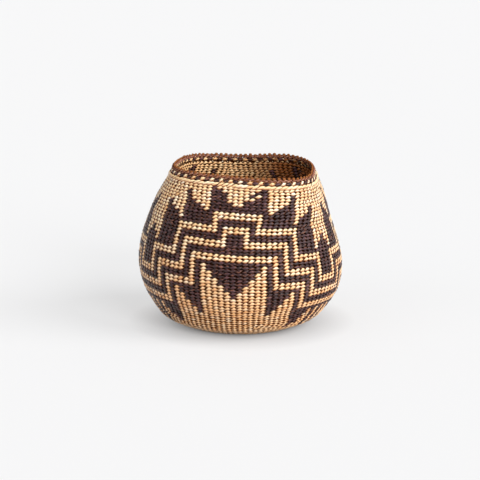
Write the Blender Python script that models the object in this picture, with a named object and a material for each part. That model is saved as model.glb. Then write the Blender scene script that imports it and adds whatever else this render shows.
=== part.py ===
"""A small twined bowl basket: a flat base, a full belly, and sides that draw in to a four-cornered mouth.

The upright warps are one thin frame from the start of the base to their trimmed ends at the rim.
Bands of twined courses close round it, outside and inside, so every solid stands clear of the next.
Each band is first woven flat, as a ring on a straight drum, where height is the distance along the
wall from the edge of the base and depth is measured in from the outer face. The drum is then shaped:
the wall bends to its outline, the courses run downhill to the right, and the mouth goes out of round.
Units are metres, +Z is up, and the front of the basket faces -Y.
"""

import math

import bmesh
import bpy
from mathutils import Vector

MM = 0.001

# The outline of the wall, outside: radius and height, from the edge of the flat base to the rim.
BASE_RADIUS = 35.9 * MM
WALL_OUTLINE = [
    (BASE_RADIUS, 0.0),
    (41.1 * MM, 1.95 * MM),
    (49.4 * MM, 5.9 * MM),
    (55.3 * MM, 12.7 * MM),
    (61.9 * MM, 24.4 * MM),
    (64.4 * MM, 39.1 * MM),
    (62.2 * MM, 53.7 * MM),
    (58.2 * MM, 68.4 * MM),
    (53.9 * MM, 83.0 * MM),
    (47.0 * MM, 97.7 * MM),
    (44.9 * MM, 104.0 * MM),
]
# The wall isn't true: the height where it leans to the right (or left), how widely, and by how much.
LEANS = [
    (22.0 * MM, 14.0 * MM, 0.8 * MM),
    (70.0 * MM, 22.0 * MM, -1.4 * MM),
]

# The layers of the wall, as depth in from its outer face.
GAP = 0.3 * MM
OUTER_COURSES = (0.0, 1.0 * MM)
WARPS = (1.4 * MM, 2.2 * MM)
INNER_COURSES = (2.6 * MM, 3.5 * MM)
RIM_COURSES = (0.0, 0.8 * MM)

# The start of the base, where the first warps are tied together.
START_RADIUS = 5.7 * MM

# Heights along the wall, from the edge of the base.
RIM_HEIGHT = 115.4 * MM
ROOT_COURSE = 0.95 * MM
TWO_COLOUR_COURSE = 1.9 * MM
RIDGE_COURSE = 2.4 * MM
RIDGE_STANDS_PROUD = 0.5 * MM
WARP_END_HEIGHT = 0.9 * MM

# The courses slope down to the right: level at the base, steepest at the belly.
COURSE_SLOPE = 3.3 * MM
SLOPE_TURN = math.radians(3.0)

# The mouth: how far it is pushed over and out of round, as lobes round the rim.
MOUTH_STARTS = 62.0 * MM
MOUTH_SHIFT = (2.6 * MM, 0.4 * MM)
MOUTH_LOBES = [
    (2, 0.7 * MM, math.radians(30.0)),
    (3, 1.0 * MM, math.radians(133.0)),
    (4, 2.4 * MM, math.radians(143.0)),
]
# The rim isn't level: where it rises or dips, how widely, and by how much.
RIM_RISES_FROM = 84.0 * MM
RIM_RISES = [
    (math.radians(138.0), math.radians(32.0), 2.0 * MM),
    (math.radians(-172.0), math.radians(30.0), -1.1 * MM),
]

WARP_COUNT = 108
RING_STEPS = 48
DRUM_RADIUS = 100.0 * MM

# Every layer bends at these same heights, so the layers stay a gap apart all the way up.
BENDS = [height * MM for height in (0, 5, 11, 19, 30, 42, 54, 65, 76, 85, 94, 104)]

STRAW = (0.62, 0.43, 0.22)
DARK_FERN = (0.045, 0.028, 0.03)
RED_ROOT = (0.22, 0.09, 0.05)
WILLOW = (0.30, 0.19, 0.10)
MIXED = (0.24, 0.16, 0.10)


def clear_scene():
    for old in list(bpy.data.objects):
        bpy.data.objects.remove(old, do_unlink=True)


def smooth(value, start, end):
    """0 before start, 1 after end, and an S-curve between."""
    t = min(1.0, max(0.0, (value - start) / (end - start)))
    return t * t * (3.0 - 2.0 * t)


def trace_outline(points, steps=14):
    """A smooth line through the outline's points, as (length so far, radius, height).

    It leaves the base level, so the wall turns up from the floor without a crease.
    """
    slopes = [Vector((1.0, 0.0)) * (points[1][0] - points[0][0])]
    for before, after in zip(points, points[2:]):
        slopes.append((Vector(after) - Vector(before)) / 2)
    slopes.append(Vector(points[-1]) - Vector(points[-2]))
    line = [(0.0, points[0][0], points[0][1])]
    for i in range(len(points) - 1):
        start, end = Vector(points[i]), Vector(points[i + 1])
        for k in range(1, steps + 1):
            t = k / steps
            rise = t * t * (3 - 2 * t)
            spot = start.lerp(end, rise)
            spot += slopes[i] * (t * (1 - t) ** 2)
            spot -= slopes[i + 1] * (t * t * (1 - t))
            length, radius, height = line[-1]
            step = (spot - Vector((radius, height))).length
            line.append((length + step, spot.x, spot.y))
    return line


WALL = trace_outline(WALL_OUTLINE)


def on_wall(along):
    """The outer face at a distance along the wall: radius, height, and the way out of the wall.

    Below 0 it runs across the flat base towards the centre.
    """
    if along <= 0:
        return BASE_RADIUS + along, 0.0, Vector((0.0, -1.0))
    i = 1
    while i < len(WALL) - 1 and WALL[i][0] < along:
        i += 1
    (s0, r0, z0), (s1, r1, z1) = WALL[i - 1], WALL[i]
    t = (along - s0) / (s1 - s0)
    way = Vector((r1 - r0, z1 - z0)).normalized()
    if i > 1 and t < 0.5:
        before = WALL[i - 2]
        earlier = Vector((r0 - before[1], z0 - before[2])).normalized()
        way = earlier.lerp(way, 0.5 + t).normalized()
    elif i < len(WALL) - 1 and t >= 0.5:
        after = WALL[i + 1]
        later = Vector((after[1] - r1, after[2] - z1)).normalized()
        way = way.lerp(later, t - 0.5).normalized()
    return r0 + (r1 - r0) * t, z0 + (z1 - z0) * t, Vector((way.y, -way.x))


def course_slope(along):
    """How far a course drops to the right and rises to the left, at this height."""
    climb = smooth(along, 8 * MM, 45 * MM)
    return COURSE_SLOPE * climb * (1 - 0.2 * smooth(along, 85 * MM, RIM_HEIGHT))


def shape_wall(along, depth, angle):
    """Where a point of the drum ends up on the finished basket. Angle 0 is the front."""
    tilted = along - course_slope(along) * math.sin(angle + SLOPE_TURN)
    radius, height, out = on_wall(tilted)
    lean = sum(size * math.exp(-(((height - middle) / width) ** 2)) for middle, width, size in LEANS)
    radius -= out.x * depth
    height -= out.y * depth
    mouth = smooth(tilted, MOUTH_STARTS, RIM_HEIGHT)
    for count, size, turn in MOUTH_LOBES:
        radius += mouth * size * math.cos(count * angle - turn)
    near_rim = smooth(tilted, RIM_RISES_FROM, RIM_HEIGHT)
    for middle, width, rise in RIM_RISES:
        away = (angle - middle + math.pi) % math.tau - math.pi
        height += near_rim * rise * math.exp(-((away / width) ** 2))
    x = radius * math.sin(angle) + mouth * MOUTH_SHIFT[0] + lean
    y = -radius * math.cos(angle) + mouth * MOUTH_SHIFT[1]
    return Vector((x, y, height))


def shape_mesh(bm):
    """Bends a ring that was made on the drum to the basket's own shape."""
    for vert in bm.verts:
        x, y, along = vert.co
        depth = DRUM_RADIUS - math.hypot(x, y)
        vert.co = shape_wall(along, depth, math.atan2(x, -y))


def material(name, colour, roughness):
    made = bpy.data.materials.new(name)
    made.use_nodes = True
    shader = made.node_tree.nodes["Principled BSDF"]
    shader.inputs["Base Color"].default_value = (*colour, 1.0)
    shader.inputs["Roughness"].default_value = roughness
    shader.inputs["Metallic"].default_value = 0.0
    return made


def add_object(name, bm, colour, roughness=0.6):
    bmesh.ops.remove_doubles(bm, verts=bm.verts, dist=0.002 * MM)
    bmesh.ops.recalc_face_normals(bm, faces=bm.faces)
    mesh = bpy.data.meshes.new(name)
    bm.to_mesh(mesh)
    bm.free()
    made = bpy.data.objects.new(name, mesh)
    made.data.materials.append(material(name, colour, roughness))
    bpy.context.scene.collection.objects.link(made)
    return made


def spin_section(section, steps, closed):
    """Spins (along, depth) points round the drum."""
    bm = bmesh.new()
    verts = [bm.verts.new((0.0, -(DRUM_RADIUS - depth), along)) for along, depth in section]
    edges = [bm.edges.new(pair) for pair in zip(verts, verts[1:])]
    if closed:
        edges.append(bm.edges.new((verts[-1], verts[0])))
    bmesh.ops.spin(
        bm,
        geom=verts + edges,
        cent=(0, 0, 0),
        axis=(0, 0, 1),
        angle=math.tau,
        steps=steps,
        use_merge=True,
    )
    bmesh.ops.remove_doubles(bm, verts=bm.verts, dist=0.0005 * MM)
    return bm


def bends_between(low, high):
    """The heights at which a layer bends between its two edges, with the edges themselves."""
    return [low] + [height for height in BENDS if low + MM < height < high - MM] + [high]


def band_section(low, high, layer):
    """A flat-sided band: up its outer face from bend to bend, and down its inner face."""
    outer, inner = layer
    heights = bends_between(low, high)
    up = [(height, outer) for height in heights]
    down = [(height, inner) for height in reversed(heights)]
    return up + down


def course_section(low, high, layer, proud):
    """One round course: its outer face swells and its inner face is flat."""
    outer, inner = layer
    middle, half = (low + high) / 2, (high - low) / 2
    swell = [
        (middle + half * math.sin(turn), outer + proud * (1 - math.cos(turn)) - proud)
        for turn in (math.radians(degrees) for degrees in (-60, -20, 20, 60))
    ]
    return [(low, outer + proud)] + swell + [(high, outer + proud), (high, inner), (low, inner)]


def make_band(name, low, high, layer, colour):
    bm = spin_section(band_section(low, high, layer), RING_STEPS, closed=True)
    shape_mesh(bm)
    return add_object(name, bm, colour)


def make_course(name, low, high, layer, proud, colour):
    bm = spin_section(course_section(low, high, layer, proud), RING_STEPS, closed=True)
    shape_mesh(bm)
    return add_object(name, bm, colour)


def make_start(name, layer, colour):
    """The round knot over the crossed warps at the very centre of the base."""
    low, high = layer
    bm = bmesh.new()
    bmesh.ops.create_cone(
        bm,
        cap_ends=True,
        segments=24,
        radius1=START_RADIUS,
        radius2=START_RADIUS,
        depth=high - low,
    )
    bmesh.ops.translate(bm, verts=bm.verts, vec=(0, 0, (low + high) / 2))
    return add_object(name, bm, colour)


def make_warp_frame():
    """All the warps, from the centre of the base, up between the courses, to their cut ends."""
    outer, inner = WARPS
    top = RIM_HEIGHT - GAP / 2
    heights = bends_between(-BASE_RADIUS, top)
    up = [(height, outer) for height in heights]
    down = [(height, inner) for height in reversed(heights)]
    bm = spin_section(up + down, WARP_COUNT // 2, closed=False)
    edges = [
        edge
        for edge in bm.edges
        if min(vert.co.z for vert in edge.verts) > top - 0.01 * MM
        and abs(edge.verts[0].co.xy.length - edge.verts[1].co.xy.length) < 0.01 * MM
    ]
    bmesh.ops.subdivide_edges(bm, edges=edges, cuts=1)
    rim = [face for face in bm.faces if face.calc_center_median().z > top - 0.01 * MM]
    ends = bmesh.ops.extrude_discrete_faces(bm, faces=rim)["faces"]
    for face in ends:
        middle = face.calc_center_median()
        across = Vector((-middle.y, middle.x, 0)).normalized()
        for vert in face.verts:
            vert.co -= across * (vert.co - middle).dot(across) * 0.55
            vert.co.z += WARP_END_HEIGHT
    shape_mesh(bm)
    return add_object("warps", bm, WILLOW, 0.7)


def make_outer_courses():
    """The outer face of the twining, from the start knot to below the raised ridge."""
    edge = -BASE_RADIUS + START_RADIUS
    ridge = RIM_HEIGHT - 2 * ROOT_COURSE - TWO_COLOUR_COURSE - RIDGE_COURSE
    bands = [
        ("base_courses_inner_turns", edge, -16 * MM, STRAW),
        ("base_courses_outer_turns", -16 * MM, 0.0, STRAW),
        ("foot_courses", 0.0, 11 * MM, STRAW),
        ("plain_wall_courses", 11 * MM, 30 * MM, STRAW),
        ("lower_pattern_courses", 30 * MM, 54 * MM, MIXED),
        ("belly_pattern_courses", 54 * MM, 76 * MM, DARK_FERN),
        ("shoulder_pattern_courses", 76 * MM, 94 * MM, DARK_FERN),
        ("neck_pattern_courses", 94 * MM, ridge, STRAW),
    ]
    for name, low, high, colour in bands:
        make_band(name, low + GAP / 2, high - GAP / 2, OUTER_COURSES, colour)


def make_rim():
    """The courses that finish the rim: the raised ridge, the two-colour course and two root courses."""
    height = RIM_HEIGHT
    courses = [
        ("rim_root_course_upper", ROOT_COURSE, 0.0, RED_ROOT),
        ("rim_root_course_lower", ROOT_COURSE, 0.0, RED_ROOT),
        ("two_colour_course", TWO_COLOUR_COURSE, 0.0, MIXED),
        ("three_strand_ridge", RIDGE_COURSE, RIDGE_STANDS_PROUD, STRAW),
    ]
    for name, tall, proud, colour in courses:
        low, high = height - tall + GAP / 2, height - GAP / 2
        make_course(name, low, high, RIM_COURSES, proud, colour)
        height -= tall


def make_lining():
    """The inner face of the same twining, which closes over the warps inside the bowl."""
    edge = -BASE_RADIUS + START_RADIUS
    bands = [
        ("base_lining_courses", edge, 0.0, STRAW),
        ("lower_lining_courses", 0.0, 30 * MM, STRAW),
        ("pattern_lining_courses", 30 * MM, 94 * MM, STRAW),
        ("neck_lining_courses", 94 * MM, RIM_HEIGHT, RED_ROOT),
    ]
    for name, low, high, colour in bands:
        make_band(name, low + GAP / 2, high - GAP / 2, INNER_COURSES, colour)


clear_scene()
make_start("start_knot_under", OUTER_COURSES, STRAW)
make_start("start_knot_inside", INNER_COURSES, STRAW)
make_warp_frame()
make_outer_courses()
make_rim()
make_lining()
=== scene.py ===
# %% [markdown]
# # A twined bowl basket, stitch by stitch
#
# The basket is made of upright shoots, the warps, held by rounds of twining: two strands that
# cross between every two warps, so that each round is a row of leaning, grain-shaped stitches.
# The shape of the wall is already fixed by the imported CAD model. This lesson dresses it: it models
# each kind of stitch once, by hand, and lays a copy on every warp of every round.
#
# The first step loads the imported model.

# %% Load the imported model
import math

import bmesh
import bpy
import numpy as np
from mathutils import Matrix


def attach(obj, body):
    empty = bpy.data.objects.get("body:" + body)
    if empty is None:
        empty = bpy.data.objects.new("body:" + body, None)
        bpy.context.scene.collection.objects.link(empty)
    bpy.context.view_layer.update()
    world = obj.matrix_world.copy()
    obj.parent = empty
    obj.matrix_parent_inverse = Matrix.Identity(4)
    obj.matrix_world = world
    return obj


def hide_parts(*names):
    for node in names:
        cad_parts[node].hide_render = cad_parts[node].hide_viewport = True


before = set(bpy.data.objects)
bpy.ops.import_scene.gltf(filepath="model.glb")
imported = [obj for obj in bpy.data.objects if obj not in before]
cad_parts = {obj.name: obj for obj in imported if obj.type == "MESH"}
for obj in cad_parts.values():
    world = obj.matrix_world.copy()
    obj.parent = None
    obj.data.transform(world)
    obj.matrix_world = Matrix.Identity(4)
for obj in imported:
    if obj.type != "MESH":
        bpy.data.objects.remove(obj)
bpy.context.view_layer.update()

# %% [markdown]
# ## The wall
#
# The outline is the same one that the CAD part follows: radius and height in millimetres, from the
# edge of the flat base to just past the rim. It is a smooth line through a few points, measured
# along its own length, because a weaver's rounds lie one after another along it.

# %% Trace the outline
MM = 0.001
OUTLINE = [
    (35.9, 0.0), (41.1, 1.95), (49.4, 5.9), (55.3, 12.7), (61.9, 24.4), (64.4, 39.1),
    (62.2, 53.7), (58.2, 68.4), (53.9, 83.0), (47.0, 97.7), (44.9, 104.0),
]


def trace_outline(points, steps=14):
    """The outline as a smooth line: rows of length so far, radius and height."""
    spots = np.array(points)
    slopes = np.gradient(spots, axis=0)
    slopes[0] = (spots[1, 0] - spots[0, 0], 0.0)
    line = [(0.0, *spots[0])]
    for i in range(len(spots) - 1):
        for t in np.arange(1, steps + 1) / steps:
            rise = t * t * (3 - 2 * t)
            spot = spots[i] * (1 - rise) + spots[i + 1] * rise
            spot = spot + slopes[i] * (t * (1 - t) ** 2) - slopes[i + 1] * (t * t * (1 - t))
            step = math.hypot(spot[0] - line[-1][1], spot[1] - line[-1][2])
            line.append((line[-1][0] + step, *spot))
    return np.array(line)


wall_line = trace_outline(OUTLINE)
# Which way the outline runs at each of its points: a step of length 1 in radius and height.
wall_way = np.gradient(wall_line[:, 1:], wall_line[:, 0], axis=0)
wall_way /= np.linalg.norm(wall_way, axis=1)[:, None]
print("Length of the outline, mm:", round(float(wall_line[-1, 0]), 1))

# %% [markdown]
# ## A place on the wall
#
# A round of twining is easiest to describe as a height along the wall, an angle round the basket
# and a depth in from the outer face, so one function turns those three into a place. It also makes
# the rounds run downhill to the right, lets the wall lean a little, and pushes the mouth out of round.

# %% Find places on the wall
# The wall isn't true: the height where it leans to the right (or left), how widely, and by how much.
LEANS = [(22.0, 14.0, 0.8), (70.0, 22.0, -1.4)]
RIM_HEIGHT = 115.4
WALL_DEPTH = 3.5
COURSE_SLOPE = 3.3
SLOPE_TURN = math.radians(3.0)
# The rounds begin to slope above the foot, and slope a little less again towards the rim.
SLOPE_HEIGHTS, EASES_FROM, EASED_BY = (8.0, 45.0), 85.0, 0.2
MOUTH_STARTS = 62.0
MOUTH_SHIFT = (2.6, 0.4)
MOUTH_LOBES = [(2, 0.7, 30.0), (3, 1.0, 133.0), (4, 2.4, 143.0)]
# The rim isn't level: the angle where it rises or dips, how widely, in degrees, and by how much.
RIM_RISES_FROM = 84.0
RIM_RISES = [(138.0, 32.0, 2.0), (-172.0, 30.0, -1.1)]


def smooth(value, start, end):
    """0 before start, 1 after end, and an S-curve between."""
    t = np.clip((value - start) / (end - start), 0.0, 1.0)
    return t * t * (3.0 - 2.0 * t)


def lean_at(height):
    """How far the wall leans to the right at a height."""
    return sum(size * np.exp(-(((height - middle) / width) ** 2)) for middle, width, size in LEANS)


def wall_points(along, depth, angle):
    """Places on the basket, in metres, for heights, depths (mm) and angles. Angle 0 is the front."""
    climb = smooth(along, *SLOPE_HEIGHTS) * (1 - EASED_BY * smooth(along, EASES_FROM, RIM_HEIGHT))
    tilted = along - COURSE_SLOPE * climb * np.sin(angle + SLOPE_TURN)
    over_the_end = np.maximum(tilted - wall_line[-1, 0], 0.0)
    radius = np.interp(tilted, wall_line[:, 0], wall_line[:, 1]) + np.minimum(tilted, 0.0)
    height = np.interp(tilted, wall_line[:, 0], wall_line[:, 2]) + over_the_end
    lean = lean_at(height)
    out = np.interp(tilted, wall_line[:, 0], wall_way[:, 1])
    down = np.interp(tilted, wall_line[:, 0], wall_way[:, 0])
    radius = radius - out * depth
    height = height + down * depth
    mouth = smooth(tilted, MOUTH_STARTS, RIM_HEIGHT)
    for count, size, turn in MOUTH_LOBES:
        radius = radius + mouth * size * np.cos(count * angle - math.radians(turn))
    near_rim = smooth(tilted, RIM_RISES_FROM, RIM_HEIGHT)
    for middle, width, rise in RIM_RISES:
        away = (np.degrees(angle) - middle + 180.0) % 360.0 - 180.0
        height = height + near_rim * rise * np.exp(-((away / width) ** 2))
    x = radius * np.sin(angle) + mouth * MOUTH_SHIFT[0] + lean
    y = -radius * np.cos(angle) + mouth * MOUTH_SHIFT[1]
    return np.stack((x, y, height), axis=-1) * MM


print("Front of the belly, metres:", wall_points(np.array(52.0), 0.0, np.array(0.0)).round(4))

# %% [markdown]
# ## The warps
#
# A basket of this kind starts with a few crossed warps. More are slipped in beside the old ones as
# the base widens, which shows as ribs that fork, and some are cut out where the neck draws in.
# Each warp here has the height at which it joins and the height at which it is cut out. Between
# those it takes its share of the way round, so neighbours make room as it comes in.

# %% Share out the warps
WARP_COUNT = 108
MOTIF_COLUMNS = 36
SPREAD_STEP = 67
# How many warps there are at a height, in mm from the edge of the base, from the start outwards.
JOINING = [
    (6, -42.0), (10, -38.0), (22, -30.0), (42, -17.0), (60, -7.0), (84, 3.0), (97, 10.0), (108, 24.0),
]
# The columns that are cut out at the neck of each motif, with the height at which each one goes.
CUT_OUT = {0: 98.0, 12: 88.0, -12: 91.0, -18: 95.0, 14: 104.0, -14: 107.0}
NEVER_CUT = 1000.0
# A warp takes this many millimetres to widen or narrow. Below this share of its width it isn't there.
FADES_OVER, LEAST_SHARE = 6.0, 0.3
# The middle of each motif is a little more widely spaced at the neck.
WIDE_COLUMNS, WIDER, WIDER_HEIGHTS = 5, 0.10, (84.0, 100.0)
# How far round the front motif is turned at the foot, and back again by the neck, in degrees.
MOTIF_TURN, MOTIF_TWIST, TWIST_HEIGHTS = -4.0, 2.2, (60.0, 104.0)
# At the neck the warps stand closer together at the front.
NECK_CLOSER, CLOSER_HEIGHTS = 0.05, (70.0, 104.0)

column_of = (np.arange(WARP_COUNT) + MOTIF_COLUMNS // 2) % MOTIF_COLUMNS - MOTIF_COLUMNS // 2
turn_to_join = np.argsort(np.arange(WARP_COUNT) * SPREAD_STEP % WARP_COUNT)
joins_at = np.interp(turn_to_join + 1, *zip(*JOINING))
ends_at = np.array([CUT_OUT.get(column, NEVER_CUT) for column in column_of])


def warps_at(along):
    """The angle of every warp at this height and the angle that each takes up, 0 where it isn't."""
    share = np.clip((along - joins_at) / FADES_OVER, 0.0, 1.0)
    share = share * np.clip((ends_at - along) / FADES_OVER, 0.0, 1.0)
    share = np.where(share < LEAST_SHARE, 0.0, share)
    widened = 1 + WIDER * smooth(along, *WIDER_HEIGHTS)
    share = share * np.where(abs(column_of) <= WIDE_COLUMNS, widened, 1.0)
    middle = np.cumsum(share) - share / 2
    whole = math.tau / share.sum()
    motif_angle = math.radians(MOTIF_TURN + MOTIF_TWIST * smooth(along, *TWIST_HEIGHTS))
    angle = motif_angle + (middle - middle[0]) * whole
    closer = NECK_CLOSER * smooth(along, *CLOSER_HEIGHTS)
    pushed = smooth(along, MOUTH_STARTS, RIM_HEIGHT) * MOUTH_SHIFT[0]
    pushed += lean_at(np.interp(along, wall_line[:, 0], wall_line[:, 2]))
    pushed /= np.interp(along, wall_line[:, 0], wall_line[:, 1])
    taken = share * whole * (1 - closer * np.cos(angle) + pushed * np.sin(angle))
    return angle - closer * np.sin(angle) - pushed * np.cos(angle), taken


for along in (-28.0, -10.0, 5.0, 20.0, 60.0, 95.0, 110.0):
    print("height", along, "warps", int((warps_at(along)[1] > 0).sum()))

# %% [markdown]
# ## The pattern
#
# The design is a traditional stepped one, worked three times round in dark and light. It is
# counted, as a weaver counts it: columns out from the middle of a motif, and rows down from the
# top step. Three light lines, each two rows deep, step down from the middle of the motif. Above
# them dark triangles point up, and below them light ribs rise from the base like organ pipes.

# %% Count out the pattern
# Each line's treads: first column, last column and upper row. A line is two rows deep.
STEPPED_LINES = [
    [(0, 4, 0), (4, 11, 4), (11, 16, 12), (16, 18, 19)],
    [(0, 2, 4), (2, 9, 8), (9, 14, 16), (14, 18, 23)],
    [(0, 7, 12), (7, 12, 20), (12, 18, 27)],
]
# The highest dark row of each column, from the middle of the motif to halfway to the next one.
DARK_TOPS = [-1, -2, -4, -6, -7, -8, 0, -1, -2, -3, -6, 3, 2, 1, 0, -2, 11, 9, 7]
# The highest light row of the ribs below the lines, in the same columns.
RIB_TOPS = [25, 23, 21, 19, 17, 15, 31, 29, 27, 25, 23, 38, 36, 34, 32, 30, 40, 30, 38]
# Single stitches that break the count: column, row, and whether the stitch is light.
ODD_STITCHES = {(3, -5): True, (4, -6): True, (-2, -4): True, (1, -2): False, (-1, -3): True}


def is_light(column, row):
    """Whether a stitch is light. Columns count from the middle of a motif, rows down."""
    if (column, row) in ODD_STITCHES:
        return ODD_STITCHES[column, row]
    side = abs(column)
    for line in STEPPED_LINES:
        for i, (first, last, top) in enumerate(line):
            if first <= side <= last and top <= row <= top + 1:
                return True
            if i + 1 < len(line) and side == last and top <= row <= line[i + 1][2] + 1:
                return True
    return row < DARK_TOPS[side] or row >= RIB_TOPS[side]


print("Light stitches in one motif:", sum(is_light(c, r) for c in range(-18, 18) for r in range(-8, 41)))

# %% [markdown]
# ## One stitch
#
# Each stitch is a strand of root, with a strip of shining grass or fern stem laid over it, that
# comes up between two warps, crosses one, and goes down again higher up. What shows is a plump
# leaf with pointed ends. It starts as a small sphere whose poles are turned to the sides. Towards
# the ends it is narrowed and pressed in between the warps, and the whole leans up to the right.

# %% Model the stitch
STITCH_LENGTH = 5.2
STITCH_HEIGHT = 3.0
STITCH_THICKNESS = 1.6
# How a stitch narrows and dives from its middle to its ends: from this share of its half length
# outwards, it is this much narrower and thicker, and is pressed in by this share of its dive.
TAPER = [(0.3, 0.76, 1.06, 0.20), (0.6, 0.48, 1.15, 0.30), (0.85, 0.92, 1.20, 0.50)]
# Its upper edge is drawn to the right and its lower edge to the left, as shares of its height.
SLANT_FROM, SLANT = 0.22, 0.13


def select_verts(test):
    """In edit mode, selects only the vertices whose place passes the test."""
    shape = bmesh.from_edit_mesh(bpy.context.edit_object.data)
    for vert in shape.verts:
        vert.select_set(test(vert.co))
    shape.select_flush_mode()
    bmesh.update_edit_mesh(bpy.context.edit_object.data)


def model_grain(name, length, height, thickness, lean, dive, around=8, along=8):
    """One grain-shaped stitch at the origin: across is X, up the wall is Y and out of it is Z."""
    bpy.ops.object.select_all(action="DESELECT")
    bpy.ops.mesh.primitive_uv_sphere_add(segments=around, ring_count=along, radius=length / 2 * MM)
    grain = bpy.context.object
    grain.name = name
    bpy.ops.object.mode_set(mode="EDIT")
    bpy.ops.mesh.select_all(action="SELECT")
    bpy.ops.transform.rotate(value=math.pi / 2, orient_axis="Y", center_override=(0, 0, 0))
    bpy.ops.transform.resize(value=(1, height / length, thickness / length))
    for share, narrower, thicker, push in TAPER:
        reach = length / 2 * share * MM
        select_verts(lambda place: abs(place.x) > reach)
        bpy.ops.transform.resize(value=(1, narrower, thicker), center_override=(0, 0, 0))
        bpy.ops.transform.translate(value=(0, 0, -dive * push * MM))
    for side in (1, -1):
        select_verts(lambda place: place.y * side > height * SLANT_FROM * MM)
        bpy.ops.transform.translate(value=(side * height * SLANT * MM, 0, 0))
    bpy.ops.mesh.select_all(action="SELECT")
    bpy.ops.transform.rotate(value=-math.radians(lean), orient_axis="Z", center_override=(0, 0, 0))
    bpy.ops.object.mode_set(mode="OBJECT")
    bpy.ops.object.shade_smooth()
    return grain


grains = {
    "straw": model_grain("light_stitch", STITCH_LENGTH, STITCH_HEIGHT, STITCH_THICKNESS, 12, 0.15),
    "fern": model_grain("dark_stitch", 5.4, 2.6, 1.6, 12, 0.1),
}
inner_grain = model_grain("inner_stitch", STITCH_LENGTH, 2.6, STITCH_THICKNESS, 10, 0.4, 6, 6)
neck_lining_grain = model_grain("neck_lining_stitch", 5.2, 2.4, 1.8, 10, 0.1)
print("Faces of one stitch outside:", len(grains["straw"].data.polygons))
print("Faces of one stitch inside:", len(inner_grain.data.polygons))

# %% [markdown]
# ## From a stitch to arrays
#
# Some thirteen thousand stitches are too many to copy with operators, so this step is done with
# arrays: the corners and faces of the model stitch are read once, and meshes are built from arrays
# of such corners. Each stitch carries its own tone, from dull to bright, and a small map that runs
# along and across the strand, which the materials read.

# %% Read a model stitch and build a mesh
# The sphere's own map is at this share of the way round on the crest of the stitch.
CREST_AT = 0.5


def read_grain(grain):
    """The corners, face corners, face sizes and strand map of a model stitch.

    Z is measured from the crest. The map is the sphere's own: along the strand from 0 to 1, and
    across it from -1 at the lower edge to 1 at the upper edge.
    """
    mesh = grain.data
    corners = np.empty(len(mesh.vertices) * 3)
    mesh.vertices.foreach_get("co", corners)
    corners = corners.reshape(-1, 3) / MM
    corners[:, 2] -= corners[:, 2].max()
    loops = np.empty(len(mesh.loops), int)
    mesh.loops.foreach_get("vertex_index", loops)
    sizes = np.empty(len(mesh.polygons), int)
    mesh.polygons.foreach_get("loop_total", sizes)
    around = np.empty(len(mesh.loops) * 2)
    mesh.uv_layers[0].data.foreach_get("uv", around)
    around = around.reshape(-1, 2)
    across = np.sin((around[:, 0] - CREST_AT) * math.tau)
    return corners, loops, sizes, np.stack((1 - around[:, 1], across), axis=-1)


def build_mesh(name, places, loops, sizes, strand_map, tones):
    """A mesh object from arrays of corners, face corners and face sizes."""
    mesh = bpy.data.meshes.new(name)
    mesh.vertices.add(len(places))
    mesh.vertices.foreach_set("co", places.ravel())
    mesh.loops.add(len(loops))
    mesh.loops.foreach_set("vertex_index", loops)
    mesh.polygons.add(len(sizes))
    mesh.polygons.foreach_set("loop_start", np.concatenate(([0], np.cumsum(sizes)[:-1])))
    mesh.polygons.foreach_set("loop_total", sizes)
    mesh.polygons.foreach_set("use_smooth", np.ones(len(sizes), bool))
    mesh.update(calc_edges=True)
    strand = mesh.uv_layers.new(name="strand")
    strand.data.foreach_set("uv", strand_map.ravel())
    tone = mesh.attributes.new("tone", "FLOAT", "POINT")
    tone.data.foreach_set("value", tones)
    made = bpy.data.objects.new(name, mesh)
    bpy.context.scene.collection.objects.link(made)
    return made


print("Corners of one stitch:", len(read_grain(grains["straw"])[0]))

# %% [markdown]
# ## Laying stitches
#
# A stitch is as wide as the warps stand apart at its place. The model stitch is made for the spacing
# at the belly, and each copy is stretched from that to its own spacing, tilted a little and bent onto
# the wall. Inside the bowl it is mirrored.

# %% Lay copies of a stitch on the wall
WARP_SPACING = 3.72


def lay_stitches(name, grain, spots, inside=False):
    """One piece made of a copy of the grain for each spot.

    A spot is its angle, the angle it takes up, its height along the wall, its row height as a
    share of the usual one, its depth, its tilt and its tone.
    """
    corners, loops, sizes, strand_map = read_grain(grain)
    angle, taken, along, tall, depth, tilt, tone = (column[:, None] for column in np.array(spots).T)
    x, y, z = corners.T
    across = x * np.cos(tilt) - y * np.sin(tilt)
    up = x * np.sin(tilt) + y * np.cos(tilt)
    if inside:
        across, z = -across, -z
    places = wall_points(along + up * tall, depth - z, angle + across * taken / WARP_SPACING)
    count = len(spots)
    all_loops = (loops[None] + np.arange(count)[:, None] * len(corners)).ravel()
    return build_mesh(
        name, places.reshape(-1, 3), all_loops, np.tile(sizes, count),
        np.tile(strand_map, (count, 1)), np.repeat(tone, len(corners)),
    )


print("Warp spacing of the model stitch, mm:", WARP_SPACING)

# %% [markdown]
# ## The rounds
#
# Rows are counted down from the pattern's top step, so the rounds are walked from the ridge down to
# the start of the base. Hands are not machines, so each stitch differs a little in place, height,
# tilt and tone. A stitch goes to the zone of the wall that it lies in, and to a light or a dark
# piece, because they are two plants. Inside, the same stitches show from behind, leaning the other way.

# %% Walk the rounds
FIRST_ROW, LAST_ROW = -8, 61
# The height of row 0 along the wall, and the spacing of the rows below and above it.
TOP_ROW_HEIGHT, ROW_SPACING, NECK_ROW_SPACING = 92.9, 2.07, 1.95
# Under the belly the strands are pulled tighter, so the rows stand apart.
FOOT_FROM_ROW, FOOT_TALL = 31, 0.69
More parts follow.
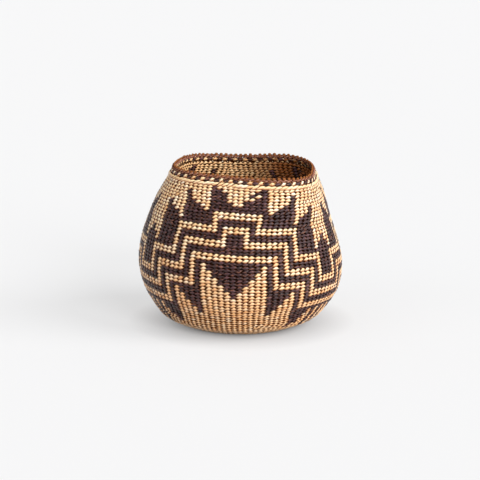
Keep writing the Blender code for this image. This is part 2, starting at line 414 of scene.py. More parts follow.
# The stitches that the basket stands on, below this height, are pressed in a little.
STANDS_BELOW, SUNK_IN_BASE = 2.0, 0.2
ZONES = [
    ("start_knot_under", -36.0, -30.2),
    ("base_courses_inner_turns", -30.2, -16.0),
    ("base_courses_outer_turns", -16.0, 0.0),
    ("foot_courses", 0.0, 11.0),
    ("plain_wall_courses", 11.0, 30.0),
    ("lower_pattern_courses", 30.0, 54.0),
    ("belly_pattern_courses", 54.0, 76.0),
    ("shoulder_pattern_courses", 76.0, 94.0),
    ("neck_pattern_courses", 94.0, 110.0),
]
INNER_ZONES = [
    ("start_knot_inside", -36.0, -30.2),
    ("base_lining_courses", -30.2, 0.0),
    ("lower_lining_courses", 0.0, 30.0),
    ("pattern_lining_courses", 30.0, 94.0),
    ("neck_lining_courses", 94.0, 116.0),
]
# How uneven handwork is: in shares of a warp, a width or a height, in millimetres, or in radians.
SIDEWAYS_ERROR, WIDTH_ERROR, TALL_ERROR = 0.035, 0.04, 0.05
HEIGHT_ERROR, DEPTH_ERROR, TILT_ERROR = 0.07, 0.06, 0.09
TONE_MIDDLE, TONE_SPREAD = 0.5, 0.22
random = np.random.default_rng(7)


def row_height(row):
    """The height along the wall of a row's middle."""
    return TOP_ROW_HEIGHT - row * (ROW_SPACING if row >= 0 else NECK_ROW_SPACING)


def zone_at(along, zones):
    """The zone that a height lies in."""
    return next(name for name, low, high in zones if low <= along < high)


def make_spot(angle, taken, along, depth, tall=1.0):
    """One stitch's place, with the small differences that handwork leaves."""
    return (
        angle + taken * random.normal(0, SIDEWAYS_ERROR),
        taken * random.normal(1.0, WIDTH_ERROR),
        along + random.normal(0, HEIGHT_ERROR),
        tall * random.normal(1.0, TALL_ERROR),
        depth + random.normal(0, DEPTH_ERROR),
        random.normal(0, TILT_ERROR),
        np.clip(random.normal(TONE_MIDDLE, TONE_SPREAD), 0, 1),
    )


outer_spots, inner_spots = {}, {}
for row in range(FIRST_ROW, LAST_ROW + 1):
    along = row_height(row)
    angles, taken = warps_at(along)
    sunk = SUNK_IN_BASE if along < STANDS_BELOW else 0.0
    pulled = FOOT_TALL if row > FOOT_FROM_ROW else 1.0
    for warp in np.flatnonzero(taken > 0):
        colour = "straw" if is_light(column_of[warp], row) else "fern"
        spot = make_spot(angles[warp], taken[warp], along, sunk, pulled)
        outer_spots.setdefault((zone_at(along, ZONES), colour), []).append(spot)
        spot = make_spot(angles[warp], taken[warp], along, WALL_DEPTH)
        inner_spots.setdefault((zone_at(along, INNER_ZONES), colour), []).append(spot)

print("Stitches outside:", sum(map(len, outer_spots.values())))
print("Stitches inside:", sum(map(len, inner_spots.values())))

# %% [markdown]
# ## The rim
#
# Four rounds close the basket. The lowest is a three-strand ridge: its strands pass over two warps
# each, so they are long, and they stand proud. Next comes a round that twines one dark strand
# with one light one, so its stitches change colour in turn. Last come two rounds of bare, reddish
# root. Above them the warps are cut off, and their ends show as a row of small bumps.

# %% Model the rim's stitches and share them out
RIM_WARPS = 90
RIDGE_AT, TWO_COLOUR_AT = 110.3, 112.9
ROOT_ROUNDS = {"rim_root_course_lower": 114.4, "rim_root_course_upper": 115.05}
# How far in the inner stitches of the rim lie, how far the ridge stands out, and how much higher
# the ridge and the root rounds lie inside.
RIM_DEPTH, RIDGE_PROUD = 2.3, 0.35
INNER_RIDGE_RISE, INNER_ROOT_RISE = 0.35, 0.25
RIM_RADIUS = 46.0

ridge_strand = model_grain("ridge_strand", 8.6, 2.4, 1.9, 18, 0.6, 8, 12)
rim_grains = {
    "straw": model_grain("light_rim_stitch", 5.4, 2.7, 1.8, 22, 0.4),
    "fern": model_grain("dark_rim_stitch", 6.0, 2.3, 1.7, 14, 0.4),
}
root_grain = model_grain("root_stitch", 4.3, 1.15, 1.5, 20, 0.3)


def rim_angles(along, count, turn=0.0):
    """Angles of evenly spread stitches on a rim round, and the angle that one warp takes there."""
    steps = (np.arange(count) + turn) / count * math.tau
    shift = smooth(along, MOUTH_STARTS, RIM_HEIGHT) * MOUTH_SHIFT[0] / RIM_RADIUS
    angles = steps - NECK_CLOSER * np.sin(steps) - shift * np.cos(steps)
    taken = math.tau / RIM_WARPS * (1 - NECK_CLOSER * np.cos(steps) + shift * np.sin(steps))
    return list(zip(angles, taken))


ridge_spots = [make_spot(a, t, RIDGE_AT, -RIDGE_PROUD) for a, t in rim_angles(RIDGE_AT, RIM_WARPS)]
two_colour_spots = {"straw": [], "fern": []}
for i, (angle, taken) in enumerate(rim_angles(TWO_COLOUR_AT, RIM_WARPS)):
    colour = ("straw", "fern")[i % 2]
    two_colour_spots[colour].append(make_spot(angle, taken, TWO_COLOUR_AT, 0.0))
    spot = make_spot(angle, taken, TWO_COLOUR_AT, RIM_DEPTH)
    inner_spots.setdefault(("neck_lining_courses", colour), []).append(spot)
for angle, taken in rim_angles(RIDGE_AT, RIM_WARPS):
    spot = make_spot(angle, taken, RIDGE_AT + INNER_RIDGE_RISE, WALL_DEPTH)
    inner_spots["neck_lining_courses", "straw"].append(spot)
root_spots = {}
for i, (name, along) in enumerate(ROOT_ROUNDS.items()):
    for angle, taken in rim_angles(along, RIM_WARPS, i / 2):
        root_spots.setdefault(name, []).append(make_spot(angle, taken, along, 0.0))
        spot = make_spot(angle, taken, along + INNER_ROOT_RISE, RIM_DEPTH)
        inner_spots.setdefault(("neck_lining_courses", "root"), []).append(spot)
print("Stitches on the outside of the rim:", len(ridge_spots) + RIM_WARPS * 3)

# %% [markdown]
# ## The warps themselves
#
# The warps are peeled shoots, flattened where the stitches grip them. Each one is a tube that
# follows its own column up the wall. They show in the gaps between the stitches and at the rim,
# where each is cut with a small rounded end.

# %% Run the warps up the wall
WARP_STEP = 2.0
WARP_SIDES = 6
WARP_DEPTH, WARP_DEPTH_AT_RIM = 1.75, 1.2
RIM_PART = (108.0, 112.0)
WARP_HALF_THICKNESS = 0.55
WARP_SHARE, CUT_END_SHARE = 0.46, 0.32
# A new warp shows only above its first stitches. At the rim the warps keep the spacing of this height.
COVERED, SPACED_LIKE = 2.0, RIM_HEIGHT - 4.0
INNERMOST = -34.5
SHORTEST_WARP, WARP_TONE_SPREAD = 1.0, 0.2
CUT_FROM = RIM_HEIGHT - 2.4
WARP_ENDS_AT, CUT_ERROR = RIM_HEIGHT + 1.45, 0.18
# How a cut end is rounded: this far below its top, it has this share of its full size.
CUT_END = [(0.45, 1.0), (0.12, 0.85), (0.0, 0.45)]
PLAIN_UP_TO = 0.6
# The map along a warp runs from 0 to 1 over this many millimetres.
WARP_MAP_LENGTH = 20.0


def warp_middle(along):
    """How deep the middle of a warp lies at a height: less in the thin rim."""
    return WARP_DEPTH + (WARP_DEPTH_AT_RIM - WARP_DEPTH) * smooth(along, *RIM_PART)


def run_warps(name, lowest, highest, half_width=WARP_SHARE):
    """The warps between two heights as one piece: a flattened tube for each, closed at both ends."""
    places, loops, sizes, maps, tones = [], [], [], [], []
    start = 0
    turns = np.arange(WARP_SIDES) / WARP_SIDES * math.tau
    for warp in range(WARP_COUNT):
        top = min(ends_at[warp], highest + random.normal(0, CUT_ERROR))
        foot = max(joins_at[warp] + COVERED, lowest)
        if top < foot + SHORTEST_WARP:
            continue
        heights = np.arange(foot, top - PLAIN_UP_TO, WARP_STEP)
        full = np.concatenate((np.ones(len(heights)), [size for below, size in CUT_END]))
        heights = np.concatenate((heights, [top - below for below, size in CUT_END]))
        tone = np.clip(random.normal(TONE_MIDDLE, WARP_TONE_SPREAD), 0, 1)
        for along, size in zip(heights, full):
            angles, taken = warps_at(min(along, SPACED_LIKE))
            share = max(taken[warp], 0.01) * half_width * size
            angle = angles[warp] + share * np.cos(turns)
            depth = warp_middle(along) - WARP_HALF_THICKNESS * size * np.sin(turns)
            places.append(wall_points(np.full(WARP_SIDES, along), depth, angle))
            map_along = np.full(WARP_SIDES, along / WARP_MAP_LENGTH)
            maps.append(np.stack((map_along, turns / math.tau), axis=-1))
            tones.append(np.full(WARP_SIDES, tone))
        for ring in range(len(heights) - 1):
            for side in range(WARP_SIDES):
                low = start + ring * WARP_SIDES
                after = (side + 1) % WARP_SIDES
                loops += [low + side, low + side + WARP_SIDES, low + after + WARP_SIDES, low + after]
                sizes.append(4)
        last = start + (len(heights) - 1) * WARP_SIDES
        loops += list(range(start, start + WARP_SIDES))
        loops += list(range(last + WARP_SIDES - 1, last - 1, -1))
        sizes += [WARP_SIDES, WARP_SIDES]
        start = last + WARP_SIDES
    return build_mesh(
        name, np.concatenate(places), np.array(loops), np.array(sizes),
        np.concatenate(maps)[loops], np.concatenate(tones),
    )


print("Warps that reach the rim:", int((ends_at > RIM_HEIGHT).sum()))

# %% [markdown]
# ## What closes the wall
#
# Between every two warps the strands of a round cross, and that closes the wall: no light comes
# through. The crossings lie out of sight, so one thin closed shell in the middle of the wall stands
# for them all. It takes the shoots' dark brown, which is painted shade.

# %% Close the wall
BASE_RADIUS = 35.9
SHELL_STEP = 3.0
SHELL_SIDES = 72
SHELL_HALF_THICKNESS = 0.1
# The hole that is left at the middle of the base, under the crossed warps.
SHELL_HOLE = 0.3


def close_wall(name):
    """A thin closed shell in the middle of the wall, from the centre of the base up to the rim."""
    going_up = np.append(np.arange(-BASE_RADIUS + SHELL_HOLE, CUT_FROM, SHELL_STEP), CUT_FROM)
    heights = np.concatenate((going_up, going_up[::-1]))
    # Its outer face goes up the wall and its inner face comes down again.
    face_depth = np.repeat((-SHELL_HALF_THICKNESS, SHELL_HALF_THICKNESS), len(going_up))
    turns = np.arange(SHELL_SIDES) / SHELL_SIDES * math.tau
    along, angle = np.meshgrid(heights, turns, indexing="ij")
    depth = warp_middle(along) + face_depth[:, None]
    places = wall_points(along, depth, angle).reshape(-1, 3)
    ring = np.arange(len(heights))[:, None]
    low, high = ring * SHELL_SIDES, (ring + 1) % len(heights) * SHELL_SIDES
    side = np.arange(SHELL_SIDES)[None]
    after = (side + 1) % SHELL_SIDES
    corners = np.stack((low + side, low + after, high + after, high + side), axis=-1)
    loops = corners.ravel()
    sizes = np.full(corners[..., 0].size, 4)
    shell_map = np.stack((along / WARP_MAP_LENGTH, angle / math.tau), axis=-1).reshape(-1, 2)
    return build_mesh(name, places, loops, sizes, shell_map[loops], np.full(len(places), TONE_MIDDLE))


print("Rings of the shell:", 2 * (math.ceil((CUT_FROM + BASE_RADIUS - SHELL_HOLE) / SHELL_STEP) + 1))

# %% [markdown]
# ## The start
#
# At the very middle of the base the first warps cross each other, and everything else grows from
# there. Each is a bar, flattened by the tie, and they are laid over each other by hand, in turn a
# little higher and a little lower.

# %% Cross the first warps
CROSSED_WARPS = 4
CROSSED_LENGTH, CROSSED_SIDES = 7.0, 12
CROSSED_DEPTH, LAID_OVER = 0.6, 0.1
CROSSED_HALF_WIDTH, CROSSED_HALF_THICKNESS = 0.85, 0.4


def cross_warps(name, height):
    """The first warps, flattened and laid across each other at the middle of the base."""
    bars = []
    for i in range(CROSSED_WARPS):
        bpy.ops.object.select_all(action="DESELECT")
        bpy.ops.mesh.primitive_cylinder_add(
            vertices=CROSSED_SIDES, radius=CROSSED_HALF_WIDTH * MM, depth=CROSSED_LENGTH * MM,
            location=(0, 0, 0), rotation=(math.pi / 2, 0, 0),
        )
        bar = bpy.context.object
        bpy.ops.object.transform_apply(rotation=True)
        bar.scale = (1.0, 1.0, CROSSED_HALF_THICKNESS / CROSSED_HALF_WIDTH)
        bar.location = (0, 0, (height + LAID_OVER * (i % 2)) * MM)
        bar.rotation_euler = (0, 0, i * math.pi / CROSSED_WARPS)
        bpy.ops.object.transform_apply(location=True, rotation=True, scale=True)
        bpy.ops.object.shade_smooth()
        bars.append(bar)
    bpy.ops.object.select_all(action="DESELECT")
    for bar in bars:
        bar.select_set(True)
    bpy.context.view_layer.objects.active = bars[0]
    bpy.ops.object.join()
    crossed = bpy.context.object
    crossed.name = name
    crossed.data.uv_layers[0].name = "strand"
    return crossed


print("Warps crossed at the start:", CROSSED_WARPS)

# %% [markdown]
# ## Colours and nodes
#
# Colours are written as sRGB hex values, as a paint chart gives them, and one function turns them
# into the linear values that Blender works in. A second adds a node with its settings and links, and
# a third fills a colour ramp. Every finish below is made with these three.

# %% Set up colours and nodes
# The sockets of a colour Mix node: how much of the second colour, both colours, and the result.
MIX_SHARE, MIX_FIRST, MIX_SECOND, MIX_RESULT = 0, 6, 7, 2


def linear(hex_colour):
    """An sRGB hex colour as linear red, green, blue and alpha."""
    parts = [int(hex_colour[i:i + 2], 16) / 255 for i in (0, 2, 4)]
    return [p / 12.92 if p <= 0.04045 else ((p + 0.055) / 1.055) ** 2.4 for p in parts] + [1.0]


def add_node(tree, kind, sockets=None, links=None, **settings):
    """Adds a node, sets its settings and socket values, and links what feeds it."""
    made = tree.nodes.new("ShaderNode" + kind)
    for name, value in settings.items():
        setattr(made, name, value)
    for name, value in (sockets or {}).items():
        made.inputs[name].default_value = value
    for name, output in (links or {}).items():
        tree.links.new(output, made.inputs[name])
    return made


def set_ramp(ramp, stops):
    """Gives a colour ramp its stops: position and hex colour."""
    elements = ramp.color_ramp.elements
    while len(elements) > 1:
        elements.remove(elements[-1])
    elements[0].position, elements[0].color = stops[0][0], linear(stops[0][1])
    for position, colour in stops[1:]:
        elements.new(position).color = linear(colour)


print("Straw as linear red, green and blue:", [round(part, 3) for part in linear("FEDDAA")[:3]])

# %% [markdown]
# ## Tone and fibres
#
# No two strips of a plant are quite the same colour, so each stitch picks its own from a ramp, by the
# tone that it carries. Fibres run along the strand, and they are read from the map on the stitch, so
# they follow it round the basket. Handling darkens the wall in soft patches, the basket is tinted
# warmer and darker towards the bottom, and the right side of its inside is darkened with painted shade.

# %% Give a strand its tone and fibres
# Fibres about 2 mm long and 0.2 mm wide. The map goes from 0 to 1 along a stitch and -1 to 1 across.
FIBRE_STRETCH, FIBRE_SCALE, FIBRE_DETAIL, FIBRE_SHADE = (1.5, 4.5, 1.0), 1.6, 3.0, (0.82, 1.18)
# How far apart the palest and the dullest stitch lie in the fibre pattern.
OWN_SHIFT = 37.0
# Patches at 65 to the metre, so each is about 15 mm across.
PATCH_SCALE, PATCH_DETAIL, PATCH_SHADE = 65.0, 2.0, (0.86, 1.12)
# Where a finish is tinted: the axis, the places in mm where the tint begins and is full, its tint.
# Outside, the basket is warmer and darker towards the bottom; inside, the right side gets painted shade.
LOWER_TINT = ("Z", 65.0, 25.0, "FCE5D4")
# Painted shade: the right side of the inside, where the rim shades it, is darkened.
INNER_PAINTED_SHADE = ("X", -4.0, 26.0, "8A643E")


def tone_strand(tree, tones, tint_and_painted_shade):
    """Colours each stitch by its tone and tints one zone, which inside is painted shade. Returns its
    colour, its fibres, its map and its own shift.
    """
    strand = add_node(tree, "UVMap", uv_map="strand")
    tone = add_node(tree, "Attribute", attribute_name="tone")
    place = add_node(tree, "TexCoord")
    base = add_node(tree, "ValToRGB", links={"Fac": tone.outputs["Fac"]})
    set_ramp(base, tones)

    shift = add_node(tree, "Math", {1: OWN_SHIFT}, {0: tone.outputs["Fac"]}, operation="MULTIPLY")
    own = add_node(tree, "CombineXYZ", links={"Z": shift.outputs[0]})
    stretched = add_node(tree, "Mapping", {"Scale": FIBRE_STRETCH}, {"Vector": strand.outputs["UV"]})
    moved = add_node(tree, "VectorMath", links={0: stretched.outputs[0], 1: own.outputs[0]})
    fibres = add_node(
        tree, "TexNoise", {"Scale": FIBRE_SCALE, "Detail": FIBRE_DETAIL}, {"Vector": moved.outputs[0]}
    )
    patches = add_node(
        tree, "TexNoise", {"Scale": PATCH_SCALE, "Detail": PATCH_DETAIL},
        {"Vector": place.outputs["Object"]},
    )

    shades = []
    for pattern, (darkest, lightest) in ((fibres, FIBRE_SHADE), (patches, PATCH_SHADE)):
        shades.append(add_node(
            tree, "MapRange", {"To Min": darkest, "To Max": lightest}, {"Value": pattern.outputs["Fac"]}
        ))
    shade = add_node(
        tree, "Math", links={0: shades[0].outputs[0], 1: shades[1].outputs[0]}, operation="MULTIPLY"
    )
    toned = add_node(
        tree, "VectorMath", links={0: base.outputs["Color"], "Scale": shade.outputs[0]}, operation="SCALE"
    )

    # The tint warms and darkens the bottom outside; on the inside it is painted shade on the right side.
    axis, begins, full, tint = tint_and_painted_shade
    where = add_node(tree, "SeparateXYZ", links={0: place.outputs["Object"]})
    tint_share = add_node(
        tree, "MapRange", {"From Min": begins * MM, "From Max": full * MM}, {"Value": where.outputs[axis]}
    )
    tinted = add_node(tree, "Mix", data_type="RGBA", blend_type="MULTIPLY")
    tinted.inputs[MIX_SECOND].default_value = linear(tint)
    tree.links.new(tint_share.outputs[0], tinted.inputs[MIX_SHARE])
    tree.links.new(toned.outputs[0], tinted.inputs[MIX_FIRST])
    return tinted.outputs[MIX_RESULT], fibres.outputs["Fac"], strand.outputs["UV"], own.outputs[0]


print("Fibres are about", round(STITCH_LENGTH / (FIBRE_STRETCH[0] * FIBRE_SCALE), 1), "mm long")

# %% [markdown]
# ## Edges, seams and wear
#
# The shining strip lies on a strand of root, which shows along the lower left of each stitch, where
# the two turn over together; that side also turns from the lamps, so its colour is partly painted shade.
# Between the stitches shade is painted in. What the eye sees as one stitch is a diamond, because its
# neighbours dip under its four sides, so the painted shade of the seam is drawn where the distance
# from the middle, along plus across, is large. Here and there the strip has worn away.

# %% Draw the root edge, the seams and the worn streaks
# The root shows where the place along the strand, counted this strongly, plus the place across it
# falls from the first of two numbers to the second.
# The root colour here is partly painted shade: the lower left of a stitch turns away from the lamps.
ROOT_ALONG, ROOT_FROM, ROOT_TO = 0.9, 0.65, -0.25
# The middle of the stitch, and how the distances from it along and across are counted.
MIDDLE, ALONG_AND_ACROSS = (0.5, 0.0, 0.0), (2.0, 1.0, 0.0)
# Painted shade: the seams between the stitches take a dark colour and lose their gloss.
SEAM_FROM, SEAM_TO = 0.78, 1.0
# Worn streaks about 1.5 mm long, with soft ends.
STREAK_STRETCH, STREAK_SCALE, STREAK_SOFTNESS = (2.6, 1.7, 1.0), 1.3, 0.08


def cover(tree, colour, hex_colour, share):
    """Lays a plain colour over another where the share is high."""
    covered = add_node(tree, "Mix", data_type="RGBA")
    covered.inputs[MIX_SECOND].default_value = linear(hex_colour)
    tree.links.new(share, covered.inputs[MIX_SHARE])
    tree.links.new(colour, covered.inputs[MIX_FIRST])
    return covered.outputs[MIX_RESULT]


def edge_strand(tree, colour, strand, edge, end):
    """Shows the root at one edge, which is partly painted shade, and paints shade into the seams. Returns
    the colour and the share of painted seam shade.
    """
    parts = add_node(tree, "SeparateXYZ", links={0: strand})
    slant = add_node(
        tree, "Math", {1: ROOT_ALONG}, {0: parts.outputs["X"], 2: parts.outputs["Y"]},
        operation="MULTIPLY_ADD",
    )
    low = add_node(
        tree, "MapRange", {"From Min": ROOT_FROM, "From Max": ROOT_TO}, {"Value": slant.outputs[0]}
    )
    colour = cover(tree, colour, edge, low.outputs[0])

    centred = add_node(tree, "VectorMath", {1: MIDDLE}, {0: strand}, operation="SUBTRACT")
    apart = add_node(tree, "VectorMath", links={0: centred.outputs[0]}, operation="ABSOLUTE")
    diamond = add_node(
        tree, "VectorMath", {1: ALONG_AND_ACROSS}, {0: apart.outputs[0]}, operation="DOT_PRODUCT"
    )
    painted_seam_shade = add_node(
        tree, "MapRange", {"From Min": SEAM_FROM, "From Max": SEAM_TO}, {"Value": diamond.outputs["Value"]}
    )
    return cover(tree, colour, end, painted_seam_shade.outputs[0]), painted_seam_shade.outputs[0]


def wear_strand(tree, colour, strand, own, fleck, amount):
    """Wears the strip away in streaks along the strand."""
    drawn = add_node(tree, "Mapping", {"Scale": STREAK_STRETCH}, {"Vector": strand})
    parted = add_node(tree, "VectorMath", links={0: drawn.outputs[0], 1: own})
    streaks = add_node(
        tree, "TexNoise", {"Scale": STREAK_SCALE, "Detail": 1.0}, {"Vector": parted.outputs[0]}
    )
    worn = add_node(
        tree, "MapRange", {"From Min": 1.0 - amount, "From Max": 1.0 + STREAK_SOFTNESS - amount},
        {"Value": streaks.outputs["Fac"]},
    )
    return cover(tree, colour, fleck, worn.outputs[0])


print("Streaks are about", round(STITCH_LENGTH / (STREAK_STRETCH[0] * STREAK_SCALE), 1), "mm long")

# %% [markdown]
# ## A plant strand
#
# Grass, fern stem, root and shoots are all plant strands, so one function makes them all, from the
# steps above with other colours, gloss and wear. Fibres stand up a tenth of a millimetre at most,
# and are a little rougher than the skin between them. Where shade is painted into a seam, the gloss is
# taken away too.

# %% Mix a strand's material
COAT_ROUGHNESS = 0.35
# Between the fibres the strand is this much smoother, and on them this much rougher.
SMOOTHER, ROUGHER = 0.08, 0.1
FIBRE_HEIGHT = 0.1


def strand_material(
    name, tones, edge, end, fleck, worn, roughness, coat, bump, gloss=0.5, tint_and_painted_shade=LOWER_TINT
):
    """A plant strand: a tone per stitch, fibres, a root edge that is partly painted shade, painted seam
    shade and worn streaks.
    """
    made = bpy.data.materials.new(name)
    made.use_nodes = True
    tree = made.node_tree
    shader = tree.nodes["Principled BSDF"]
    colour, fibres, strand, own = tone_strand(tree, tones, tint_and_painted_shade)
    colour, painted_seam_shade = edge_strand(tree, colour, strand, edge, end)
    colour = wear_strand(tree, colour, strand, own, fleck, worn)
    tree.links.new(colour, shader.inputs["Base Color"])

    # The gloss is taken away where shade is painted into the seams. An export that drops the link keeps
    # the plain number.
    shader.inputs["Specular IOR Level"].default_value = gloss
    shader.inputs["Coat Roughness"].default_value = COAT_ROUGHNESS
    for socket, full in (("Specular IOR Level", gloss), ("Coat Weight", coat)):
        dulled = add_node(tree, "MapRange", {"To Min": full, "To Max": 0.0}, {"Value": painted_seam_shade})
        tree.links.new(dulled.outputs[0], shader.inputs[socket])

    rough = add_node(
        tree, "MapRange", {"To Min": roughness - SMOOTHER, "To Max": roughness + ROUGHER},
        {"Value": fibres},
    )
    tree.links.new(rough.outputs[0], shader.inputs["Roughness"])
    raised = add_node(tree, "Bump", {"Strength": bump, "Distance": FIBRE_HEIGHT * MM}, {"Height": fibres})
    tree.links.new(raised.outputs[0], shader.inputs["Normal"])
    return made


print("Height of the fibres, mm:", FIBRE_HEIGHT)

# %% [markdown]
# ## What it is made of
#
# The overlay strips are beargrass, bleached to a shining straw yellow, and the stem of maidenhair
# fern, which is nearly black with a slight purple sheen. Both are thin and smooth, so they have soft
# highlights. Below them lies split root, a dull reddish brown that shows at the edges of the strips
# and where they are worn. The warps are peeled hazel shoots. Colours are judged from the picture.

# %% Mix the finishes
# In every finish, edge is the root colour at the lower left of a stitch, partly painted shade, and end is
# painted shade in the seams.
FINISHES = {
    # Grass leaf, bleached in the sun and laid flat: pale straw, smooth, with a silky highlight.
    "straw": strand_material(
        "bleached_beargrass", [(0.0, "E8B87E"), (0.5, "FEDDAA"), (1.0, "FFF3D4")],
        edge="A0500E", end="5E2402", fleck="B07844", worn=0.3, roughness=0.32, coat=0.3, bump=0.35,
    ),
    # The same leaf inside the bowl, where no sun has bleached it: yellower and duller.
    "straw_inside": strand_material(
        "unbleached_inner_beargrass", [(0.0, "F0B87C"), (0.5, "FCCA90"), (1.0, "FFDCA6")],
        edge="C07438", end="3C1A08", fleck="8A5A34", worn=0.33, roughness=0.38, coat=0.2, bump=0.35,
        # Its right side is darkened with painted shade.
        tint_and_painted_shade=INNER_PAINTED_SHADE,
    ),
    # Split fern stem with its skin on: nearly black, purple in the light, and brown where it is worn.
    "fern": strand_material(
        "maidenhair_fern_stem", [(0.0, "1B0A0B"), (0.5, "391F22"), (1.0, "5E3E45")],
        edge="2A1310", end="0E0402", fleck="80503C", worn=0.41, roughness=0.31, coat=0.15, bump=0.35,
        gloss=0.3,
    ),
    # Root split and scraped, with nothing laid over it: dull reddish brown and coarse in its fibre.
    "root": strand_material(
        "bare_split_root", [(0.0, "7A4836"), (0.5, "9C6450"), (1.0, "C08C74")],
        edge="6A3A26", end="381A0C", fleck="6A3E28", worn=0.33, roughness=0.55, coat=0.0, bump=0.5,
        gloss=0.35,
    ),
    # Shoots peeled and dried, deep between the stitches: their pale wood is coloured a dark, matt brown,
    # which is painted shade.
    "shoot": strand_material(
        "hazel_shoot_painted_shade", [(0.0, "281004"), (0.5, "341606"), (1.0, "44200A")],
        edge="3A1E0C", end="3A1E0C", fleck="2E180A", worn=0.3, roughness=0.6, coat=0.0, bump=0.4,
        gloss=0.08,
    ),
    # The same shoots where they are cut off in the open: the pale wood, darkened by hands.
    "cut_end": strand_material(
        "cut_hazel_end", [(0.0, "9A6440"), (0.5, "B88256"), (1.0, "D49E6E")],
        edge="9A6440", end="8A5632", fleck="6A3E24", worn=0.3, roughness=0.6, coat=0.0, bump=0.4,
        gloss=0.3,
    ),
}
print("Finishes:", ", ".join(finish.name for finish in FINISHES.values()))

# %% [markdown]
# ## Putting the basket together
#
# Each zone of the CAD model is now replaced by its woven pieces, one for each plant that it holds.
# A piece takes the place of its node, rides on the one body, and takes its finish.

# %% Dress every zone
# The cut ends begin just above the plain shoots.
CUT_ENDS_FROM = CUT_FROM + 0.2
made_pieces = []


def dress(piece, finish, *nodes):
    """Gives a piece its finish, and puts it in place of CAD nodes."""
    piece.data.materials.append(FINISHES[finish])
    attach(piece, "root")
    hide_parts(*nodes)
    made_pieces.append(piece)


for (zone, colour), spots in outer_spots.items():
    dress(lay_stitches(f"{zone}.{colour}", grains[colour], spots), colour, zone)
for (zone, colour), spots in inner_spots.items():
    finish = "straw_inside" if colour == "straw" else colour
    grain = neck_lining_grain if zone == "neck_lining_courses" else inner_grain
    if colour == "root":
        grain = root_grain
    dress(lay_stitches(f"{zone}.{colour}", grain, spots, inside=True), finish, zone)
dress(lay_stitches("three_strand_ridge.straw", ridge_strand, ridge_spots), "straw", "three_strand_ridge")
for colour, spots in two_colour_spots.items():
    course = lay_stitches(f"two_colour_course.{colour}", rim_grains[colour], spots)
    dress(course, colour, "two_colour_course")
for name, spots in root_spots.items():
    dress(lay_stitches(f"{name}.root", root_grain, spots), "root", name)
# The warps between the stitches, and the shell below, take the shoot finish, whose dark brown is painted
# shade.
dress(run_warps("warps.shoots", INNERMOST, CUT_FROM), "shoot", "warps")
dress(run_warps("warps.cut_ends", CUT_ENDS_FROM, WARP_ENDS_AT, CUT_END_SHARE), "cut_end", "warps")
dress(close_wall("warps.crossings"), "shoot", "warps")
crossed_heights = {"start_knot_under": CROSSED_DEPTH, "start_knot_inside": WALL_DEPTH - CROSSED_DEPTH}
for node, height in crossed_heights.items():
    dress(cross_warps(f"{node}.crossed_warps", height), "cut_end", node)

models = [*grains.values(), *rim_grains.values(), inner_grain, neck_lining_grain, ridge_strand, root_grain]
for model in models:
    bpy.data.objects.remove(model)
print("Pieces:", len(made_pieces))
print("Faces:", sum(len(piece.data.polygons) for piece in made_pieces))

# %% [markdown]
# ## The floor
#
# The basket stands on a seamless sheet of white paper. Paper that is lit to white would throw too
# much light back at the basket, so this paper is grey to the lamps and glows a little to the camera
# and in reflections. The glow fades where the basket stands close over it, which paints a soft contact
# shadow on the paper.

# %% Lay the floor
FLOOR_SIZE, FLOOR_DROP = 24.0, 0.05
PAPER_GREY, PAPER_ROUGHNESS, PAPER_GLOSS = "9C9C9D", 0.9, 0.2
# How strong the glow is, how near the basket it begins to fade, in mm, and how fast. The fade is painted
# shadow.
GLOW, GLOW_REACH, GLOW_FADE = 0.54, 22.0, 0.36
bpy.ops.object.select_all(action="DESELECT")
bpy.ops.mesh.primitive_plane_add(size=FLOOR_SIZE, location=(0, 0, -FLOOR_DROP * MM))
floor = bpy.context.object
floor.name = "studio_floor"
paper = bpy.data.materials.new("white_paper")
paper.use_nodes = True
tree = paper.node_tree
surface = tree.nodes["Principled BSDF"]
for socket, value in (
    ("Base Color", linear(PAPER_GREY)), ("Emission Color", linear("FFFFFF")),
    ("Roughness", PAPER_ROUGHNESS), ("Specular IOR Level", PAPER_GLOSS),
):
    surface.inputs[socket].default_value = value

ray = add_node(tree, "LightPath")
seen = add_node(tree, "Math", links={0: ray.outputs["Is Camera Ray"], 1: ray.outputs["Is Glossy Ray"]})
seen = add_node(tree, "Math", links={0: seen.outputs[0], 1: ray.outputs["Is Transmission Ray"]})
# Painted shadow: the glow fades where the basket hides the paper from the open sky.
open_sky = add_node(tree, "AmbientOcclusion", {"Distance": GLOW_REACH * MM})
painted_shadow_fade = add_node(tree, "Math", {1: GLOW_FADE}, {0: open_sky.outputs["AO"]}, operation="POWER")
glow = add_node(tree, "Math", links={0: seen.outputs[0], 1: painted_shadow_fade.outputs[0]}, operation="MULTIPLY")
glow = add_node(tree, "Math", {1: GLOW}, {0: glow.outputs[0]}, operation="MULTIPLY")
tree.links.new(glow.outputs[0], surface.inputs["Emission Strength"])
floor.data.materials.append(paper)
print("Floor side, metres:", FLOOR_SIZE)

# %% [markdown]
# ## The light
#
# The picture is lit from the right by large, soft lamps. A low one at the front right models the
# stitches, a higher one further round brightens the right flank, and a weak one at the left keeps
# that side from going dark. An even sky fills in the rest and gives the soft shadow under the belly.

# %% Set up the light
SKY_STRENGTH = 0.45
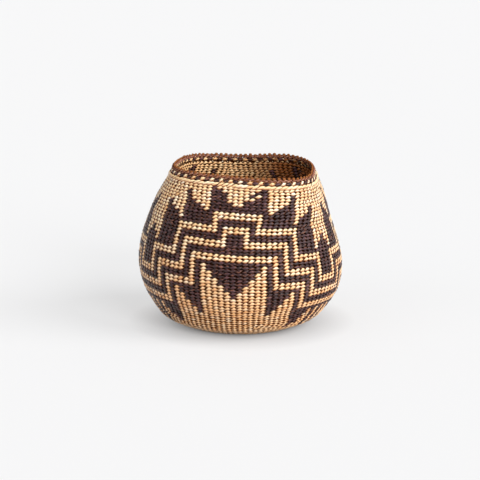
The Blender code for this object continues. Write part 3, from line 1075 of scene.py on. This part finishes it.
# Each lamp: its side seen from above, 0 at the front, its height, its strength and its softness.
LAMPS = {
    "key_lamp": (28, 21, 2.1, 25),
    "side_lamp": (70, 33, 2.3, 40),
    "fill_lamp": (-55, 15, 0.8, 60),
}
world = bpy.data.worlds.new("studio_sky")
bpy.context.scene.world = world
world.use_nodes = True
sky = world.node_tree.nodes["Background"].inputs
sky["Color"].default_value = linear("FFFFFF")
sky["Strength"].default_value = SKY_STRENGTH

for name, (turn, rise, strength, softness) in LAMPS.items():
    lamp = bpy.data.lights.new(name, "SUN")
    lamp.energy = strength
    lamp.angle = math.radians(softness)
    held = bpy.data.objects.new(name, lamp)
    held.rotation_euler = (math.radians(90 - rise), 0.0, math.radians(turn))
    bpy.context.scene.collection.objects.link(held)
print("Lamps:", ", ".join(LAMPS))

# %% [markdown]
# ## The camera
#
# The picture was taken from a little above, as on a tabletop, from a metre away through a long lens.
# The focal length was fitted in pixels of the picture, and is turned into millimetres for a usual
# sensor. The basket's middle lies a little below that of the picture, so the camera aims higher.

# %% Set up the camera
PHOTO_WIDTH = 480
FOCAL_PIXELS = 1581.0
CAMERA_RISE = math.radians(12.5)
CAMERA_DISTANCE = 1.0
AIM_HEIGHT = 48.85 * MM
SENSOR_WIDTH = 36.0
PIXELS_UP, PIXELS_LEFT = 4.4, 0.4
camera_data = bpy.data.cameras.new("camera")
camera_data.sensor_width = SENSOR_WIDTH
camera_data.lens = SENSOR_WIDTH * FOCAL_PIXELS / PHOTO_WIDTH
camera = bpy.data.objects.new("camera", camera_data)
camera.location = (
    0.0,
    -CAMERA_DISTANCE * math.cos(CAMERA_RISE),
    AIM_HEIGHT + CAMERA_DISTANCE * math.sin(CAMERA_RISE),
)
tip = math.pi / 2 - CAMERA_RISE + PIXELS_UP / FOCAL_PIXELS
camera.rotation_euler = (tip, 0.0, PIXELS_LEFT / FOCAL_PIXELS)
bpy.context.scene.collection.objects.link(camera)
bpy.context.scene.camera = camera
bpy.context.scene.view_settings.view_transform = "Standard"
print("Lens, mm:", round(camera_data.lens, 1))
